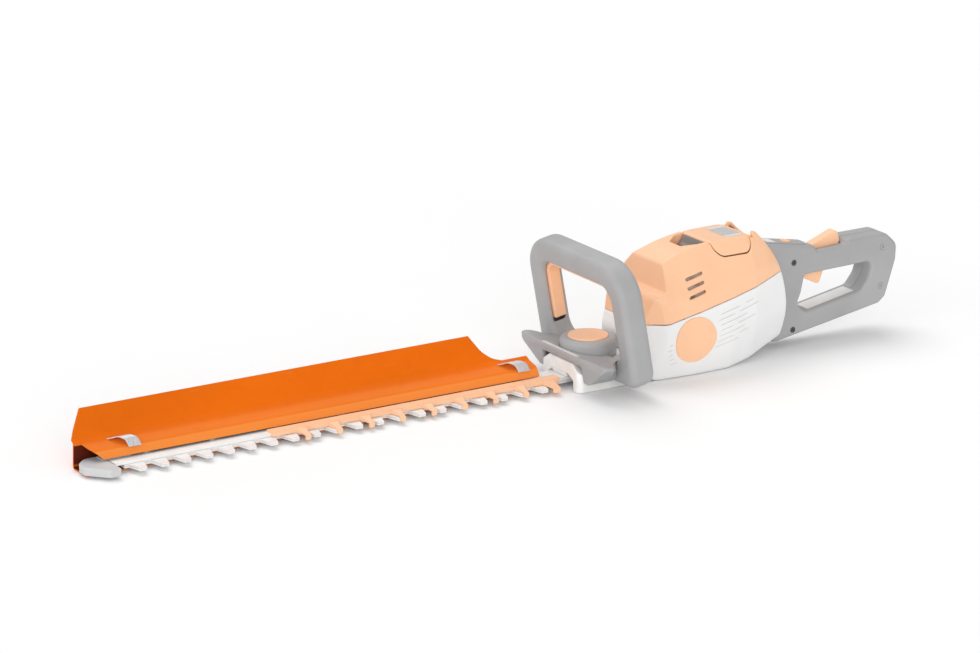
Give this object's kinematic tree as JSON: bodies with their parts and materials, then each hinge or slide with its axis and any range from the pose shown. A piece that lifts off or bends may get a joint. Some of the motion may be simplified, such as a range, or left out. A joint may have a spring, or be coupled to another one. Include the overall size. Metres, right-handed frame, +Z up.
{
  "type": "hedge trimmer",
  "caption": "Battery hedge trimmer with a single-sided reciprocating cutter bar, loop front handle, swivelling rear handle and a clip-on sweep plate.",
  "frame": {"origin": "flat underside of the motor housing, on the mid-plane of the tool", "axes": "+X towards the tip of the cutter bar, +Y towards the toothed side, +Z up"},
  "size_m": [1.1867, 0.216, 0.1766],
  "materials": {
    "grey_plastic": "light grey moulded plastic with a fine grain",
    "peach_plastic": "pale orange moulded plastic, satin",
    "white_plastic": "off-white moulded plastic, satin",
    "dark_grey_plastic": "mid grey plastic",
    "label_film": "blank white label film",
    "cast_alloy": "fine cast surface, painted light",
    "blade_steel": "ground blade steel",
    "bar_metal": "satin sheet metal",
    "bright_steel": "machined steel",
    "cell_wrap": "shrink-wrapped round cells",
    "circuit_board": "green board with dark parts",
    "plate_orange": "saturated orange, satin, slightly mottled"
  },
  "bodies": {
    "root": {"lower_housing": "white_plastic", "top_housing": "peach_plastic", "battery_bay": "grey_plastic", "badge_discs": "peach_plastic", "battery_terminals": "dark_grey_plastic", "control_board": "circuit_board", "gearbox_housing": "cast_alloy", "gearbox_cover": "cast_alloy", "gearbox_screws": "bright_steel", "crank_bearings": "bright_steel", "motor_bearing": "bright_steel", "motor_stator": "bright_steel", "motor_dome": "grey_plastic", "dome_cap": "peach_plastic", "hand_guard": "grey_plastic", "guard_label": "label_film", "front_handle_front": "grey_plastic", "front_handle_rear": "grey_plastic", "front_handle_screws": "bright_steel", "guide_bar": "bar_metal", "bar_studs": "bright_steel", "bar_bolts": "bright_steel", "bar_nuts": "bright_steel", "cut_guard": "peach_plastic", "tip_guard": "white_plastic", "tip_guard_screws": "bright_steel", "latch_pin": "bright_steel"},
    "crank": {"crank_gear": "bright_steel", "eccentric_shaft": "bright_steel"},
    "rotor": {"motor_rotor": "bright_steel", "motor_shaft": "bright_steel", "cooling_fan": "dark_grey_plastic", "pinion": "bright_steel"},
    "upper_blade": {"upper_blade": "blade_steel"},
    "lower_blade": {"lower_blade": "blade_steel"},
    "switch_bail": {"switch_bail": "peach_plastic"},
    "battery": {"battery_case": "dark_grey_plastic", "battery_cells": "cell_wrap", "battery_cover": "peach_plastic", "battery_panel": "dark_grey_plastic"},
    "battery_latch": {"battery_latch": "dark_grey_plastic"},
    "rear_handle": {"rear_handle_left": "grey_plastic", "rear_handle_right": "grey_plastic", "rear_handle_screws": "bright_steel", "handle_label": "label_film", "control_panel": "grey_plastic", "status_window": "label_film", "switch_module": "dark_grey_plastic", "trigger_pin": "bright_steel", "trigger_spring": "bright_steel", "lockout_pin": "bright_steel", "handle_lock_pin": "bright_steel", "swivel_spigot": "dark_grey_plastic", "swivel_ring": "dark_grey_plastic"},
    "trigger": {"trigger": "peach_plastic"},
    "lockout_lever": {"lockout_lever": "peach_plastic"},
    "handle_lock_lever": {"handle_lock_lever": "peach_plastic"},
    "mode_button": {"mode_button": "peach_plastic"},
    "sweep_plate": {"sweep_plate": "plate_orange", "retaining_clips": "bar_metal"}
  },
  "joints": [
    {"name": "crank_turn", "type": "hinge", "parent": "root", "child": "crank", "pos_m": [0.1165, 0, 0.016], "axis": [0, 0, 1], "range_deg": [-90, 90]},
    {"name": "motor_spin", "type": "hinge", "parent": "root", "child": "rotor", "pos_m": [0.154, 0, 0.016], "axis": [0, 0, 1], "range_deg": [-361, 361]},
    {"name": "upper_blade_slide", "type": "slide", "parent": "root", "child": "upper_blade", "axis": [1, 0, 0], "range_m": [-0.00805, 0.00805]},
    {"name": "lower_blade_slide", "type": "slide", "parent": "root", "child": "lower_blade", "axis": [1, 0, 0], "range_m": [-0.00805, 0.00805]},
    {"name": "switch_bail_press", "type": "slide", "parent": "root", "child": "switch_bail", "axis": [0.1822, 0, 0.9833], "range_m": [0, 0.0034], "stiffness_N_per_m": 900, "springref_m": -0.004},
    {"name": "battery_lift", "type": "slide", "parent": "root", "child": "battery", "axis": [0, 0, 1], "range_m": [0, 0.12]},
    {"name": "battery_latch_press", "type": "hinge", "parent": "root", "child": "battery_latch", "pos_m": [-0.0038, 0, 0.1516], "axis": [0, 1, 0], "range_deg": [0, 10], "stiffness_Nm_per_rad": 0.12, "springref_deg": -11.46},
    {"name": "handle_swivel", "type": "hinge", "parent": "root", "child": "rear_handle", "pos_m": [-0.128, 0, 0.062], "axis": [1, 0, 0], "range_deg": [-90, 90]},
    {"name": "trigger_pull", "type": "hinge", "parent": "rear_handle", "child": "trigger", "pos_m": [-0.176, 0, 0.103], "axis": [0, 1, 0], "range_deg": [0, 12], "stiffness_Nm_per_rad": 0.3, "springref_deg": -11.46},
    {"name": "lockout_press", "type": "hinge", "parent": "rear_handle", "child": "lockout_lever", "pos_m": [-0.19, 0, 0.116], "axis": [0, -1, 0], "range_deg": [0, 8], "stiffness_Nm_per_rad": 0.3, "springref_deg": -11.46},
    {"name": "handle_lock_press", "type": "hinge", "parent": "rear_handle", "child": "handle_lock_lever", "pos_m": [-0.152, 0, 0.042], "axis": [0, 1, 0], "range_deg": [0, 6], "stiffness_Nm_per_rad": 0.15, "springref_deg": -11.46},
    {"name": "mode_button_press", "type": "slide", "parent": "rear_handle", "child": "mode_button", "axis": [0.1805, 0, -0.9836], "range_m": [0, 0.0012], "stiffness_N_per_m": 400, "springref_m": -0.001},
    {"name": "sweep_plate_slide", "type": "slide", "parent": "root", "child": "sweep_plate", "axis": [1, 0, 0], "range_m": [0, 0.64]}
  ],
  "couplings": [
    {"joint": "motor_spin", "follows": "crank_turn", "ratio": -4},
    {"joint": "upper_blade_slide", "follows": "crank_turn", "m_per_rad": -0.005093},
    {"joint": "lower_blade_slide", "follows": "crank_turn", "m_per_rad": 0.005093}
  ]
}
